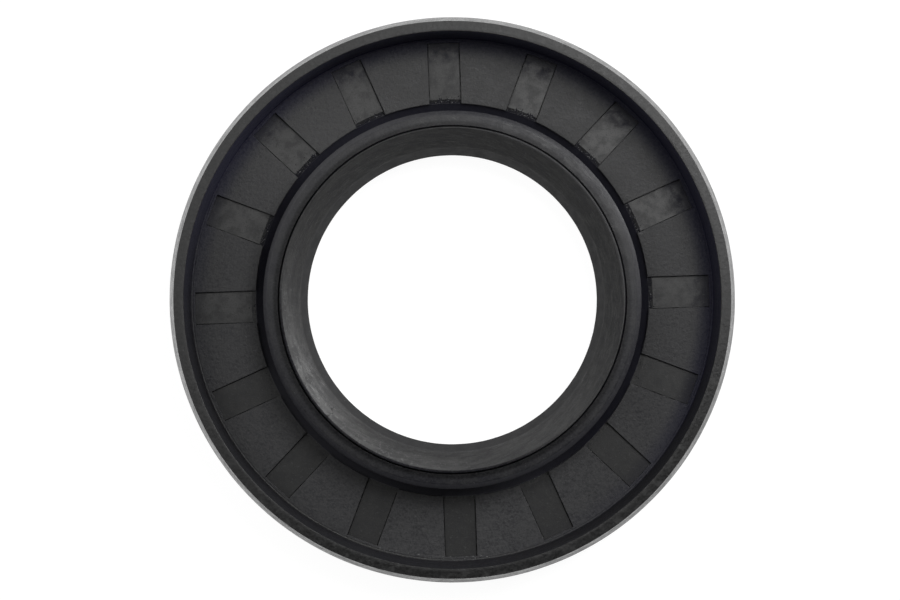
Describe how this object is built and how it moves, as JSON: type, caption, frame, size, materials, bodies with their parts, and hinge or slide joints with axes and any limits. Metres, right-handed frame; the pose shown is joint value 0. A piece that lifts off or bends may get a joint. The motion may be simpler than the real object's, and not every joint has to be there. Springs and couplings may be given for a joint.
{
  "type": "radial shaft seal",
  "caption": "Rubber-covered radial shaft seal with a spring-loaded sealing lip and a dust lip, lying on its air side.",
  "frame": {"origin": "on the axis of the seal, in the plane of its flat air side, which is down", "axes": "+Z along the axis, from the air side towards the oil side with the spring; X and Y in the plane of the air side, with one recess of the skin on +Y"},
  "size_m": [0.0754, 0.0754, 0.01],
  "materials": {
    "rubber": "moulded black nitrile rubber, satin",
    "case_steel": "pressed steel with a dark grey bonding coat, dull",
    "spring_steel": "drawn spring steel wire"
  },
  "bodies": {
    "root": {"rubber_body": "rubber", "steel_case": "case_steel", "garter_spring": "spring_steel"}
  },
  "joints": []
}
